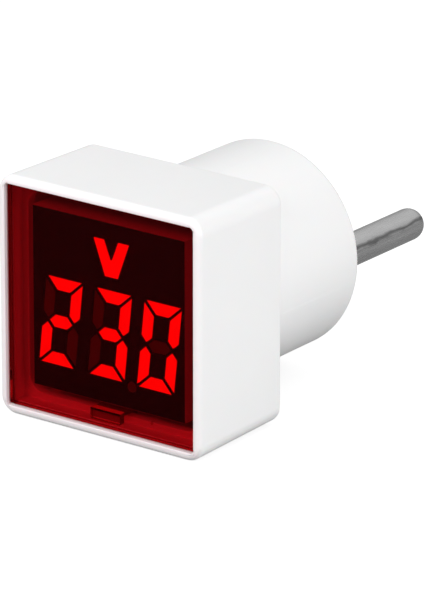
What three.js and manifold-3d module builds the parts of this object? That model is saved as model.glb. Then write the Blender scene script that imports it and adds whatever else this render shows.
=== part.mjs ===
// Plug-in mains voltmeter: a square display head on a round body with two mains pins.
// Millimetres. +Y is the way the pins point, -Y faces the person reading the display, +Z is up.
// The origin is the centre of the plug body's rear face, which seats against the socket.

import * as THREE from 'three';
import { mergeVertices } from 'three/addons/utils/BufferGeometryUtils.js';
import Module from 'manifold-3d';

const wasm = await Module();
wasm.setup();

// ---------------------------------------------------------------- driving dimensions

// Housing
const HEAD_SIDE = 30;
const HEAD_DEPTH = 16.3;
const HEAD_CORNER_RADIUS = 2.2;
const HEAD_EDGE_ROUNDING = 0.6;
const HEAD_DRAFT = 0.015; // narrowing of each side per millimetre of depth
const HEAD_WALL = 1.6;
const CAVITY_CORNER_RADIUS = 1.4;
const BODY_LENGTH = 18.2;
const BODY_FRONT_RADIUS = 13.15;
const BODY_REAR_RADIUS = 13.05;
const BODY_WALL = 1.5;
const BODY_RIM_ROUNDING = 0.8;
const REAR_WALL = 2.2;
const PIN_BOSS_RADIUS = 3.4;
const PIN_BOSS_DEPTH = 5; // from the rear face
const POST_WIDTH = 3;
const POST_THICKNESS = 1.1;
const FLANGE_THICKNESS = 2.2;

// Mains pins
const PIN_RADIUS = 2;
const PIN_LENGTH = 17;
const PIN_SPACING = 19;
const PIN_TAIL_RADIUS = 1.2;
const PIN_COLLAR_RADIUS = 2.8;
const PIN_COLLAR_DEPTH = 1.2;
const PIN_COLLAR_GAP = 0.02; // between the collar and the floor of its seat
const PIN_TAIL_STAND = 0.8; // how far a pin's tail stands out in front of the power board

// Window and what lies behind it
const OPENING_SIDE = 27.8;
const LENS_SIDE = 27.5;
const LENS_RECESS = 0.45;
const LENS_THICKNESS = 1.5;
const RECESS_SIDE = 27;
const LEDGE_DEPTH = 3.6;
const LEDGE_THICKNESS = 1.2;
const LEDGE_OPENING = 25.2;
const LEDGE_CORNER_RADIUS = 2;
const LUG_WIDTH = 4.4;
const LUG_THICKNESS = 0.5;
const LUG_HOOK = 0.45;
const LUG_HOOK_DEPTH = 0.65;
const LUG_PAD_DEPTH = 0.9;

// Display
const DISPLAY_SIDE = 22.5;
const DISPLAY_FACE_DEPTH = 2.7;
const REFLECTOR_THICKNESS = 4.2;
const FILL_BACKING = 0.4;
const SUBSTRATE_THICKNESS = 0.8;
const DIGIT_HEIGHT = 10.95;
const DIGIT_WIDTH = 5.4;
const DIGIT_PITCH = 7.3;
const DIGIT_COUNT = 3;
const DIGIT_CENTRE = new THREE.Vector2(0.1, -2.67);
const SEGMENT_STROKE = 1.5;
const SEGMENT_CLEARANCE = 0.32; // along each side of a mitre
const DIGIT_SLANT = THREE.MathUtils.degToRad(6.3);
const POINT_CENTRE = new THREE.Vector2(3.35, -8.5);
const POINT_RADIUS = 0.67;
const UNIT_CENTRE = new THREE.Vector2(0.37, 6.74);
const UNIT_HEIGHT = 4.45;
const UNIT_WIDTH = 5.15;
const UNIT_ARM = 1.55;
const UNIT_FOOT = 1.85;
const UNIT_CROTCH = 0.42; // height of the crotch as a share of the letter's height

// Boards
const BOARD_THICKNESS = 1.2;
const DISPLAY_BOARD_SIDE = 25.2;
const POWER_BOARD_RADIUS = 11.2;
const LEAD_HOLE_RADIUS = 0.45;
const LEAD_RADIUS = 0.3;
const LEAD_TAIL = 0.6; // how far a lead stands out behind its board
const STAND_OFF = 0.4; // between a board and the parts on it
const HEADER_PINS = 6;
const HEADER_PITCH = 2.54;
const HEADER_OFFSET = 10.2;
const HEADER_HEIGHT = 0.8;
const HEADER_WIDTH = 1.6;
const WIRE_RADIUS = 0.5;
const WIRE_SPACING = 2.2;

// Screws that hold the two shells together
const SCREW_OFFSET = 10.9;
const SCREW_SHANK_RADIUS = 0.95;
const SCREW_HEAD_RADIUS = 1.6;
const SCREW_HEAD_DEPTH = 1.1;
const SCREW_LENGTH = 5;
const SCREW_BOSS_RADIUS = 2.3;
const SCREW_PILOT_RADIUS = 1;
const SCREW_SLOT_LENGTH = 1.8;
const SCREW_SLOT_WIDTH = 0.4;
const SCREW_SLOT_DEPTH = 0.6;

// Gap between neighbours that don't touch, gap of a tight fit, how far a cut passes a surface and how far
// joined shapes run into each other
const GAP = 0.15;
const TIGHT = 0.05;
const PASS = 1;
const OVERLAP = 0.5;
const ROUND_SEGMENTS = 56;
const PIN_SEGMENTS = 32;
const SMALL_SEGMENTS = 20;
const LEAD_SEGMENTS = 8;

// ---------------------------------------------------------------- places along Y

const BACK_OF_HEAD = -BODY_LENGTH;
const FRONT = BACK_OF_HEAD - HEAD_DEPTH;
const LENS_FRONT = FRONT + LENS_RECESS;
const LENS_BACK = LENS_FRONT + LENS_THICKNESS;
const LEDGE_FRONT = FRONT + LEDGE_DEPTH;
const LEDGE_BACK = LEDGE_FRONT + LEDGE_THICKNESS;
const DISPLAY_FRONT = FRONT + DISPLAY_FACE_DEPTH;
const REFLECTOR_BACK = DISPLAY_FRONT + REFLECTOR_THICKNESS;
const SUBSTRATE_FRONT = REFLECTOR_BACK + FILL_BACKING + 2 * GAP;
const SUBSTRATE_BACK = SUBSTRATE_FRONT + SUBSTRATE_THICKNESS;
const DISPLAY_BOARD_FRONT = SUBSTRATE_BACK + HEADER_HEIGHT + GAP;
const DISPLAY_BOARD_BACK = DISPLAY_BOARD_FRONT + BOARD_THICKNESS;
const FLANGE_FRONT = BACK_OF_HEAD - FLANGE_THICKNESS;
const BOSS_END = -PIN_BOSS_DEPTH;
const COLLAR_FRONT = -REAR_WALL - PIN_COLLAR_DEPTH;
const POWER_BOARD_BACK = BOSS_END - GAP;
const POWER_BOARD_FRONT = POWER_BOARD_BACK - BOARD_THICKNESS;

// ---------------------------------------------------------------- joining and cutting

function toSolid(geometry) {
  const bare = geometry.clone();
  bare.deleteAttribute('normal');
  bare.deleteAttribute('uv');
  const merged = mergeVertices(bare, 1e-4);
  return new wasm.Manifold(new wasm.Mesh({
    numProp: 3,
    vertProperties: new Float32Array(merged.attributes.position.array),
    triVerts: new Uint32Array(merged.index.array),
  }));
}

function toGeometry(solid) {
  const mesh = solid.getMesh();
  const geometry = new THREE.BufferGeometry();
  geometry.setAttribute('position', new THREE.BufferAttribute(mesh.vertProperties, 3));
  geometry.setIndex(new THREE.BufferAttribute(mesh.triVerts, 1));
  geometry.computeVertexNormals();
  return geometry;
}

function join(geometries) {
  return toGeometry(geometries.map(toSolid).reduce((whole, piece) => whole.add(piece)));
}

function cut(geometry, tools) {
  return toGeometry(tools.map(toSolid).reduce((whole, tool) => whole.subtract(tool), toSolid(geometry)));
}

// ---------------------------------------------------------------- basic shapes

// A block given by its centre and full sizes.
function block(x, y, z, width, depth, height) {
  return new THREE.BoxGeometry(width, depth, height).translate(x, y, z);
}

// A flat outline in X and Z, made solid from one Y to another.
function prism(shape, fromY, toY, rounding = 0) {
  const geometry = new THREE.ExtrudeGeometry(shape, {
    depth: toY - fromY - 2 * rounding,
    bevelEnabled: rounding > 0,
    bevelThickness: rounding,
    bevelSize: rounding,
    bevelOffset: -rounding,
    bevelSegments: 2,
    curveSegments: 4,
  });
  return geometry.rotateX(Math.PI / 2).translate(0, toY - rounding, 0);
}

function roundedSquare(side, radius) {
  const reach = side / 2 - radius;
  const shape = new THREE.Shape();
  shape.absarc(reach, reach, radius, 0, Math.PI / 2);
  shape.absarc(-reach, reach, radius, Math.PI / 2, Math.PI);
  shape.absarc(-reach, -reach, radius, Math.PI, 1.5 * Math.PI);
  shape.absarc(reach, -reach, radius, 1.5 * Math.PI, 2 * Math.PI);
  return shape;
}

function squareBlock(side, fromY, toY) {
  return block(0, (fromY + toY) / 2, 0, side, toY - fromY, side);
}

// A solid of revolution about Y from [radius, y] points that run from its low-Y end to its high-Y end.
function turned(profile, segments = ROUND_SEGMENTS) {
  return new THREE.LatheGeometry(profile.map(([radius, y]) => new THREE.Vector2(radius, y)), segments);
}

function rod(radius, fromY, toY, x = 0, z = 0, segments = SMALL_SEGMENTS) {
  const profile = [[0, fromY], [radius, fromY], [radius, toY], [0, toY]];
  return turned(profile, segments).translate(x, 0, z);
}

function leadRod(radius, fromY, toY, x, z) {
  return rod(radius, fromY, toY, x, z, LEAD_SEGMENTS);
}

// Points of an arc in [radius, y] form, angles measured from the outward direction towards +Y.
function arc(centreRadius, centreY, radius, fromAngle, toAngle, steps) {
  return Array.from({ length: steps + 1 }, (_, i) => {
    const angle = fromAngle + (toAngle - fromAngle) * i / steps;
    return [centreRadius + radius * Math.cos(angle), centreY + radius * Math.sin(angle)];
  });
}

// A round wire of one radius through a few points.
function wireThrough(points, radius, steps = 16) {
  const path = new THREE.CatmullRomCurve3(points.map((point) => new THREE.Vector3(...point)));
  const section = new THREE.Shape().absarc(0, 0, radius, 0, 2 * Math.PI);
  return new THREE.ExtrudeGeometry(section, { steps, extrudePath: path, curveSegments: 4 });
}

// The four corners of a square about the Y axis, as [x, z].
function corners(offset) {
  return [[offset, offset], [-offset, offset], [-offset, -offset], [offset, -offset]];
}

// ---------------------------------------------------------------- materials

function plastic(color, roughness = 0.45) {
  return new THREE.MeshStandardMaterial({ color, roughness, metalness: 0 });
}

function metal(color, roughness = 0.35) {
  return new THREE.MeshStandardMaterial({ color, roughness, metalness: 1 });
}

const WHITE_ABS = plastic(0xf2f2f4, 0.4);
const RED_ACRYLIC = new THREE.MeshStandardMaterial({
  color: 0x8f0a12,
  roughness: 0.08,
  metalness: 0,
  transparent: true,
  opacity: 0.45,
});
const BLACK_FACE = plastic(0x180607, 0.5);
const SEGMENT_RED = plastic(0xff1205, 0.5);
const BOARD_GREEN = plastic(0x1f5c34, 0.5);
const CHIP_BLACK = plastic(0x1a1a1c, 0.55);
const CAPACITOR_YELLOW = plastic(0xd9a514, 0.5);
const SLEEVE_NAVY = plastic(0x1d2a4a, 0.4);
const VARISTOR_BLUE = plastic(0x2457a6, 0.5);
const RESISTOR_TAN = plastic(0xc9ad85, 0.6);
const BUSH_GREY = plastic(0x8c8f93, 0.5);
const NICKEL = metal(0xb9bbbd, 0.3);
const STEEL = metal(0xa5a7aa, 0.4);

// ---------------------------------------------------------------- assembly helper

const plug = new THREE.Group();

function add(name, geometry, material) {
  const mesh = new THREE.Mesh(geometry, material);
  mesh.name = name;
  plug.add(mesh);
  return mesh;
}

// ---------------------------------------------------------------- housing

// The head narrows slightly towards its back, as a moulding does.
function draftHead(geometry) {
  const position = geometry.attributes.position;
  for (let i = 0; i < position.count; i += 1) {
    const shrink = 1 - HEAD_DRAFT * (position.getY(i) - FRONT) / (HEAD_SIDE / 2);
    position.setX(i, position.getX(i) * shrink);
    position.setZ(i, position.getZ(i) * shrink);
  }
  return geometry;
}

const HEAD_REAR_SIDE = HEAD_SIDE - 2 * HEAD_DRAFT * HEAD_DEPTH;
const CAVITY_SIDE = HEAD_REAR_SIDE - 2 * HEAD_WALL;

function headShell() {
  const outline = roundedSquare(HEAD_SIDE, HEAD_CORNER_RADIUS);
  const outside = draftHead(prism(outline, FRONT, BACK_OF_HEAD, HEAD_EDGE_ROUNDING));
  const hollow = cut(outside, [
    squareBlock(OPENING_SIDE, FRONT - PASS, LENS_BACK),
    squareBlock(RECESS_SIDE, FRONT - PASS, LEDGE_FRONT),
    prism(roundedSquare(LEDGE_OPENING, LEDGE_CORNER_RADIUS), FRONT - PASS, LEDGE_BACK + PASS),
    prism(roundedSquare(CAVITY_SIDE, CAVITY_CORNER_RADIUS), LEDGE_BACK, BACK_OF_HEAD + PASS),
  ]);
  const bossFront = DISPLAY_BOARD_BACK;
  const bossBack = FLANGE_FRONT - GAP;
  const bosses = corners(SCREW_OFFSET).map(([x, z]) => rod(SCREW_BOSS_RADIUS, bossFront, bossBack, x, z));
  const pilots = corners(SCREW_OFFSET).map(([x, z]) =>
    rod(SCREW_PILOT_RADIUS, bossFront - PASS, bossBack + PASS, x, z));
  return cut(join([hollow, ...bosses]), pilots);
}

function plugBody() {
  const rim = arc(BODY_REAR_RADIUS - BODY_RIM_ROUNDING, -BODY_RIM_ROUNDING, BODY_RIM_ROUNDING,
    0, Math.PI / 2, 4);
  const barrel = turned([[0, FLANGE_FRONT], [BODY_FRONT_RADIUS, FLANGE_FRONT], ...rim, [0, 0]]);
  const flangeSide = CAVITY_SIDE - 2 * GAP;
  const flange = prism(roundedSquare(flangeSide, CAVITY_CORNER_RADIUS), FLANGE_FRONT, BACK_OF_HEAD);
  const boreRadius = BODY_REAR_RADIUS - BODY_WALL;
  const bore = rod(boreRadius, FLANGE_FRONT - PASS, -REAR_WALL, 0, 0, ROUND_SEGMENTS);
  const shell = cut(join([barrel, flange]), [bore]);
  const sides = [-PIN_SPACING / 2, PIN_SPACING / 2];
  const bosses = sides.map((x) => rod(PIN_BOSS_RADIUS, BOSS_END, OVERLAP - REAR_WALL, x));
  const postReach = (boreRadius + flangeSide / 2) / 2;
  const postLength = FLANGE_FRONT - DISPLAY_BOARD_BACK - GAP + OVERLAP;
  const postMiddle = FLANGE_FRONT + OVERLAP - postLength / 2;
  const posts = [[0, 1], [0, -1], [1, 0], [-1, 0]].map(([x, z]) => block(x * postReach, postMiddle,
    z * postReach, x ? POST_THICKNESS : POST_WIDTH, postLength, z ? POST_THICKNESS : POST_WIDTH));
  const pinHoles = sides.map((x) => rod(PIN_RADIUS + TIGHT, BOSS_END - PASS, PASS, x));
  const collarSeats = sides.map((x) => rod(PIN_COLLAR_RADIUS + TIGHT, BOSS_END - PASS, -REAR_WALL, x));
  const seatFloor = BACK_OF_HEAD - SCREW_HEAD_DEPTH - GAP;
  const screwSeats = corners(SCREW_OFFSET).map(([x, z]) =>
    rod(SCREW_HEAD_RADIUS + GAP, seatFloor, BACK_OF_HEAD + PASS, x, z));
  const screwHoles = corners(SCREW_OFFSET).map(([x, z]) =>
    rod(SCREW_SHANK_RADIUS + GAP, FLANGE_FRONT - PASS, BACK_OF_HEAD, x, z));
  const cuts = [...pinHoles, ...collarSeats, ...screwSeats, ...screwHoles];
  return cut(join([shell, ...bosses, ...posts]), cuts);
}

// The clear slab, with a snap lug at its lower edge: a pad in front of the ledge and a hooked leg that
// catches behind it.
function lensWindow() {
  const slab = squareBlock(LENS_SIDE, LENS_FRONT, LENS_BACK);
  const padFront = LENS_BACK - OVERLAP;
  const padBack = LENS_BACK + LUG_PAD_DEPTH;
  const padOuter = RECESS_SIDE / 2 - GAP;
  const legOuter = LEDGE_OPENING / 2 - GAP;
  const legInner = legOuter - LUG_THICKNESS;
  const hookFront = LEDGE_BACK + 2 * TIGHT;
  const hookBack = hookFront + LUG_HOOK_DEPTH;
  const lugPart = (inner, outer, fromY, toY) =>
    block(0, (fromY + toY) / 2, -(inner + outer) / 2, LUG_WIDTH, toY - fromY, outer - inner);
  return join([
    slab,
    lugPart(legInner, padOuter, padFront, padBack),
    lugPart(legInner, legOuter, padFront, hookBack),
    lugPart(legInner, legOuter + LUG_HOOK, hookFront, hookBack),
  ]);
}

function shellScrew() {
  const headBack = BACK_OF_HEAD - 2 * TIGHT;
  const headFront = headBack - SCREW_HEAD_DEPTH;
  const tip = headFront - SCREW_LENGTH;
  const tipRadius = SCREW_SHANK_RADIUS / 3;
  const chamfer = 0.35;
  const screw = turned([
    [0, tip], [tipRadius, tip], [SCREW_SHANK_RADIUS, tip + SCREW_SHANK_RADIUS],
    [SCREW_SHANK_RADIUS, headFront], [SCREW_HEAD_RADIUS, headFront],
    [SCREW_HEAD_RADIUS, headBack - chamfer], [SCREW_HEAD_RADIUS - chamfer, headBack], [0, headBack],
  ], SMALL_SEGMENTS);
  const slotDepth = 2 * SCREW_SLOT_DEPTH;
  return cut(screw, [
    block(0, headBack, 0, SCREW_SLOT_LENGTH, slotDepth, SCREW_SLOT_WIDTH),
    block(0, headBack, 0, SCREW_SLOT_WIDTH, slotDepth, SCREW_SLOT_LENGTH),
  ]);
}

// ---------------------------------------------------------------- mains pins

const COLLAR_BACK = -REAR_WALL - PIN_COLLAR_GAP;

function mainsPin() {
  const tail = POWER_BOARD_FRONT - PIN_TAIL_STAND;
  const tip = arc(0, PIN_LENGTH - PIN_RADIUS, PIN_RADIUS, 0, Math.PI / 2, 5).slice(0, -1);
  return turned([
    [0, tail], [PIN_TAIL_RADIUS, tail],
    [PIN_TAIL_RADIUS, COLLAR_FRONT], [PIN_COLLAR_RADIUS, COLLAR_FRONT],
    [PIN_COLLAR_RADIUS, COLLAR_BACK], [PIN_RADIUS, COLLAR_BACK],
    ...tip, [0, PIN_LENGTH],
  ], PIN_SEGMENTS);
}

function pinRetainer() {
  const inner = PIN_TAIL_RADIUS + TIGHT;
  const back = COLLAR_FRONT - TIGHT;
  return turned([
    [inner, BOSS_END], [PIN_COLLAR_RADIUS, BOSS_END], [PIN_COLLAR_RADIUS, back], [inner, back],
    [inner, BOSS_END],
  ], SMALL_SEGMENTS);
}

// ---------------------------------------------------------------- display

// The seven bars of one digit as closed outlines about the digit's centre, upright, counter-clockwise.
function digitBars() {
  const w = DIGIT_WIDTH / 2;
  const h = DIGIT_HEIGHT / 2;
  const t = SEGMENT_STROKE;
  const c = SEGMENT_CLEARANCE;
  const top = [[w - c, h], [-w + c, h], [-w + t + c, h - t], [w - t - c, h - t]];
  const upperRight = [
    [w, h - c], [w - t, h - t - c], [w - t, t / 2 + c], [w - t / 2, c], [w, t / 2 + c],
  ];
  const reach = w - t / 2 - c;
  const middle = [[reach, 0], [reach - t / 2, t / 2], [-reach + t / 2, t / 2], [-reach, 0],
    [-reach + t / 2, -t / 2], [reach - t / 2, -t / 2]];
  const flip = (outline, x, y) => {
    const moved = outline.map(([u, v]) => [u * x, v * y]);
    return x * y < 0 ? moved.reverse() : moved;
  };
  return [
    top, flip(top, 1, -1), middle,
    upperRight, flip(upperRight, -1, 1), flip(upperRight, 1, -1), flip(upperRight, -1, -1),
  ];
}

// The letter V, the unit sign above the digits.
function unitSign() {
  const w = UNIT_WIDTH / 2;
  const h = UNIT_HEIGHT / 2;
  const crotch = -h + UNIT_HEIGHT * UNIT_CROTCH;
  return [[w, h], [w - UNIT_ARM, h], [0, crotch], [-w + UNIT_ARM, h], [-w, h],
    [-UNIT_FOOT / 2, -h], [UNIT_FOOT / 2, -h]];
}

function decimalPoint() {
  const sides = 16;
  return Array.from({ length: sides }, (_, i) => {
    const angle = 2 * Math.PI * i / sides;
    return [POINT_RADIUS * Math.cos(angle), POINT_RADIUS * Math.sin(angle)];
  });
}

// Every lit or unlit mark of the display, placed on the face.
function displayMarks() {
  const place = (outline, centre, slant) => outline.map(([u, v]) =>
    new THREE.Vector2(centre.x + u + v * Math.tan(slant), centre.y + v));
  const marks = [place(unitSign(), UNIT_CENTRE, 0), place(decimalPoint(), POINT_CENTRE, 0)];
  for (let i = 0; i < DIGIT_COUNT; i += 1) {
    const shift = (i - (DIGIT_COUNT - 1) / 2) * DIGIT_PITCH;
    const centre = new THREE.Vector2(DIGIT_CENTRE.x + shift, DIGIT_CENTRE.y);
    marks.push(...digitBars().map((bar) => place(bar, centre, DIGIT_SLANT)));
  }
  return marks;
}

// Moves every side of a closed counter-clockwise outline outwards by the same distance.
function outset(points, distance) {
  return points.map((point, i) => {
    const before = points[(i + points.length - 1) % points.length];
    const after = points[(i + 1) % points.length];
    const arriving = point.clone().sub(before).normalize();
    const leaving = after.clone().sub(point).normalize();
    const outward = new THREE.Vector2(arriving.y + leaving.y, -arriving.x - leaving.x).normalize();
    const share = outward.x * arriving.y - outward.y * arriving.x;
    return point.clone().addScaledVector(outward, distance / share);
  });
}

function displayReflector() {
  const apertures = displayMarks().map((mark) =>
    prism(new THREE.Shape(outset(mark, 2 * TIGHT)), DISPLAY_FRONT - PASS, REFLECTOR_BACK + PASS));
  return cut(squareBlock(DISPLAY_SIDE, DISPLAY_FRONT, REFLECTOR_BACK), apertures);
}

// The light-scattering resin: one bar in each aperture, joined by a thin layer behind the reflector.
function displayFill() {
  const layerFront = REFLECTOR_BACK + GAP;
  const layer = squareBlock(DISPLAY_SIDE - 2 * GAP, layerFront, layerFront + FILL_BACKING);
  const bars = displayMarks().map((mark) =>
    prism(new THREE.Shape(mark), DISPLAY_FRONT + 2 * TIGHT, layerFront + FILL_BACKING / 2));
  return join([layer, ...bars]);
}

// A plastic strip carrying one row of pins between the display and its board.
function headerPinPlaces() {
  return Array.from({ length: HEADER_PINS }, (_, i) => (i - (HEADER_PINS - 1) / 2) * HEADER_PITCH);
}

function displayHeader(z) {
  const middle = SUBSTRATE_BACK + GAP / 2 + HEADER_HEIGHT / 2;
  const strip = block(0, middle, z, HEADER_PINS * HEADER_PITCH, HEADER_HEIGHT, HEADER_WIDTH);
  const tail = DISPLAY_BOARD_BACK + LEAD_TAIL;
  const pins = headerPinPlaces().map((x) => leadRod(LEAD_RADIUS, middle, tail, x, z));
  return join([strip, ...pins]);
}

// ---------------------------------------------------------------- boards

function displayBoard() {
  const plate = squareBlock(DISPLAY_BOARD_SIDE, DISPLAY_BOARD_FRONT, DISPLAY_BOARD_BACK);
  const notchRadius = 3;
  const notches = corners(DISPLAY_BOARD_SIDE / 2 - notchRadius / 4).map(([x, z]) =>
    rod(notchRadius, DISPLAY_BOARD_FRONT - PASS, DISPLAY_BOARD_BACK + PASS, x, z));
  const holes = [HEADER_OFFSET, -HEADER_OFFSET].flatMap((z) => headerPinPlaces().map((x) =>
    leadRod(LEAD_HOLE_RADIUS, DISPLAY_BOARD_FRONT - PASS, DISPLAY_BOARD_BACK + PASS, x, z)));
  return cut(plate, [...notches, ...holes]);
}

// Each part on the power board: where its two leads go through, as [x, z] pairs.
const LEADS = {
  dropperCapacitor: [[-5, -6.6], [5, -6.6]],
  smoothingCapacitor: [[-6.4, 5.4], [-4.4, 5.4]],
  varistor: [[0.7, 7], [5.7, 7]],
  fuseResistor: [[-2.7, 3], [5.7, 3]],
  zenerDiode: [[-1.6, -0.4], [5.4, -0.4]],
  bleedResistor: [[-0.6, -2.8], [5.4, -2.8]],
};

function powerBoard() {
  const fromY = POWER_BOARD_FRONT - PASS;
  const toY = POWER_BOARD_BACK + PASS;
  const plate = rod(POWER_BOARD_RADIUS, POWER_BOARD_FRONT, POWER_BOARD_BACK, 0, 0, ROUND_SEGMENTS);
  const pinHoles = [-1, 1].map((side) => rod(PIN_TAIL_RADIUS + GAP, fromY, toY, side * PIN_SPACING / 2));
  const leadHoles = Object.values(LEADS).flat().map(([x, z]) =>
    leadRod(LEAD_HOLE_RADIUS, fromY, toY, x, z));
  return cut(plate, [...pinHoles, ...leadHoles]);
}

// Straight leads from inside a standing part down through the board.
function leads(places, fromY) {
  return places.map(([x, z]) => leadRod(LEAD_RADIUS, fromY, POWER_BOARD_BACK + LEAD_TAIL, x, z));
}

function dropperCapacitor() {
  const back = POWER_BOARD_FRONT - STAND_OFF;
  const [width, height, thickness] = [12, 10, 4.8];
  const [[, z]] = LEADS.dropperCapacitor;
  const body = block(0, back - height / 2, z, width, height, thickness);
  return join([body, ...leads(LEADS.dropperCapacitor, back - OVERLAP)]);
}

function smoothingCapacitor() {
  const back = POWER_BOARD_FRONT - STAND_OFF;
  const radius = 2.5;
  const length = 9.5;
  const front = back - length;
  const edge = 0.35; // of the crimp groove and of both rims
  const groove = back - 4 * edge;
  const [[startX, z], [endX]] = LEADS.smoothingCapacitor;
  const can = turned([
    [0, front], [radius - edge, front], [radius, front + edge],
    [radius, groove - edge], [radius - edge, groove], [radius, groove + edge],
    [radius, back - edge], [radius - edge, back], [0, back],
  ], PIN_SEGMENTS).translate((startX + endX) / 2, 0, z);
  return join([can, ...leads(LEADS.smoothingCapacitor, back - OVERLAP)]);
}

function varistor() {
  const radius = 3.5;
  const thickness = 2.4;
  const middle = POWER_BOARD_FRONT - 1.5 * STAND_OFF - radius;
  const [[startX, z], [endX]] = LEADS.varistor;
  const disc = new THREE.CylinderGeometry(radius, radius, thickness, PIN_SEGMENTS)
    .rotateX(Math.PI / 2)
    .translate((startX + endX) / 2, middle, z);
  return join([disc, ...leads(LEADS.varistor, middle + radius / 4)]);
}

// A part lying along X with its two leads bent down through the board.
const FUSE_SIZE = { length: 6, radius: 0.95, endRadius: 1.15 };
const ZENER_SIZE = { length: 4.4, radius: 1.1, endRadius: 1.1 };
const BLEED_SIZE = { length: 3.6, radius: 0.7, endRadius: 0.85 };
const WIDER_END_SHARE = 0.22; // length of each wider end as a share of the whole

function axialPart(places, { length, radius, endRadius }) {
  const [[startX, z], [endX]] = places;
  const y = POWER_BOARD_FRONT - radius - STAND_OFF;
  const half = length / 2;
  const cap = half - length * WIDER_END_SHARE;
  const edge = 0.2;
  const body = turned([
    [0, -half], [endRadius - edge, -half], [endRadius, edge - half], [endRadius, -cap],
    [radius, edge - cap], [radius, cap - edge], [endRadius, cap],
    [endRadius, half - edge], [endRadius - edge, half], [0, half],
  ], SMALL_SEGMENTS).rotateZ(Math.PI / 2).translate((startX + endX) / 2, y, z);
  const foot = POWER_BOARD_BACK + LEAD_TAIL;
  const bend = 0.5;
  const wire = wireThrough([
    [startX, foot, z], [startX, y + 2 * bend, z], [startX, y + bend, z], [startX + bend, y, z],
    [startX + 2 * bend, y, z], [endX - 2 * bend, y, z], [endX - bend, y, z], [endX, y + bend, z],
    [endX, y + 2 * bend, z], [endX, foot, z],
  ], LEAD_RADIUS, 24);
  return join([body, wire]);
}

const CHIP_BASE = DISPLAY_BOARD_BACK + TIGHT;

// A chip with a row of flat legs along each long side, lying with its underside at baseY and its
// top towards topwards (+1 or -1 along Y).
function chip(x, z, baseY, topwards, size, legsPerSide, pitch) {
  const { width, height, thickness, reach } = size;
  const clear = 0.1; // under the body
  const legThickness = 0.4;
  const legWidth = pitch * 0.35;
  const legY = baseY + topwards * (clear + legThickness / 2);
  const body = block(x, baseY + topwards * (clear + thickness / 2), z, width, thickness, height);
  const legs = [];
  for (let i = 0; i < legsPerSide; i += 1) {
    const legX = x + (i - (legsPerSide - 1) / 2) * pitch;
    legs.push(block(legX, legY, z, legWidth, legThickness, height + 2 * reach));
  }
  return join([body, ...legs]);
}

const DRIVER_SIZE = { width: 10, height: 3.9, thickness: 1.4, reach: 1 };
const DRIVER_PITCH = 1.27;
const TRANSISTOR_SIZE = { width: 2.9, height: 1.3, thickness: 1, reach: 0.5 };
const TRANSISTOR_PITCH = 1.9;
const TRANSISTOR_SPACING = 5;
const BRIDGE_SIZE = { width: 4.7, height: 3.9, thickness: 2.2, reach: 0.7 };
const BRIDGE_PITCH = 2.54;
const BRIDGE_PLACE = [-4.6, -0.6];
const CHIP_ROW = 5.6; // above and below the driver chip's middle
const RESISTOR_COUNT = 8;
const RESISTOR_SPACING = 1.6;

// A small ceramic block with a metal cap at each end.
function chipResistor(x, z) {
  const [width, thickness, bodyLength, fullLength] = [0.8, 0.5, 1, 1.6];
  const y = CHIP_BASE + thickness / 2;
  return join([
    block(x, y, z, width, thickness, bodyLength),
    block(x, y, z, width - 2 * TIGHT, thickness - 2 * TIGHT, fullLength),
  ]);
}

// ---------------------------------------------------------------- the assembly

add('head_shell', headShell(), WHITE_ABS);
add('plug_body', plugBody(), WHITE_ABS);
add('lens_window', lensWindow(), RED_ACRYLIC);
corners(SCREW_OFFSET).forEach(([x, z], i) => {
  add(`shell_screw_${i + 1}`, shellScrew(), STEEL).position.set(x, 0, z);
});

add('pin_right', mainsPin(), NICKEL).position.x = PIN_SPACING / 2;
add('pin_left', mainsPin(), NICKEL).position.x = -PIN_SPACING / 2;
add('pin_retainer_right', pinRetainer(), BUSH_GREY).position.x = PIN_SPACING / 2;
add('pin_retainer_left', pinRetainer(), BUSH_GREY).position.x = -PIN_SPACING / 2;

add('display_reflector', displayReflector(), BLACK_FACE);
add('display_fill', displayFill(), SEGMENT_RED);
add('display_substrate', squareBlock(DISPLAY_SIDE, SUBSTRATE_FRONT, SUBSTRATE_BACK), BOARD_GREEN);
add('display_header_upper', displayHeader(HEADER_OFFSET), CHIP_BLACK);
add('display_header_lower', displayHeader(-HEADER_OFFSET), CHIP_BLACK);

add('display_board', displayBoard(), BOARD_GREEN);
add('driver_chip', chip(0, 0, CHIP_BASE, 1, DRIVER_SIZE, 8, DRIVER_PITCH), CHIP_BLACK);
for (let i = 0; i < DIGIT_COUNT; i += 1) {
  const x = (i - (DIGIT_COUNT - 1) / 2) * TRANSISTOR_SPACING;
  const transistor = chip(x, CHIP_ROW, CHIP_BASE, 1, TRANSISTOR_SIZE, 2, TRANSISTOR_PITCH);
  add(`digit_transistor_${i + 1}`, transistor, CHIP_BLACK);
}
for (let i = 0; i < RESISTOR_COUNT; i += 1) {
  const x = (i - (RESISTOR_COUNT - 1) / 2) * RESISTOR_SPACING;
  add(`segment_resistor_${i + 1}`, chipResistor(x, -CHIP_ROW), CHIP_BLACK);
}

add('power_board', powerBoard(), BOARD_GREEN);
add('dropper_capacitor', dropperCapacitor(), CAPACITOR_YELLOW);
add('smoothing_capacitor', smoothingCapacitor(), SLEEVE_NAVY);
add('varistor', varistor(), VARISTOR_BLUE);
add('fuse_resistor', axialPart(LEADS.fuseResistor, FUSE_SIZE), RESISTOR_TAN);
add('zener_diode', axialPart(LEADS.zenerDiode, ZENER_SIZE), CHIP_BLACK);
add('bleed_resistor', axialPart(LEADS.bleedResistor, BLEED_SIZE), RESISTOR_TAN);
const bridge = chip(...BRIDGE_PLACE, POWER_BOARD_FRONT - TIGHT, -1, BRIDGE_SIZE, 2, BRIDGE_PITCH);
add('bridge_rectifier', bridge, CHIP_BLACK);

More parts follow.
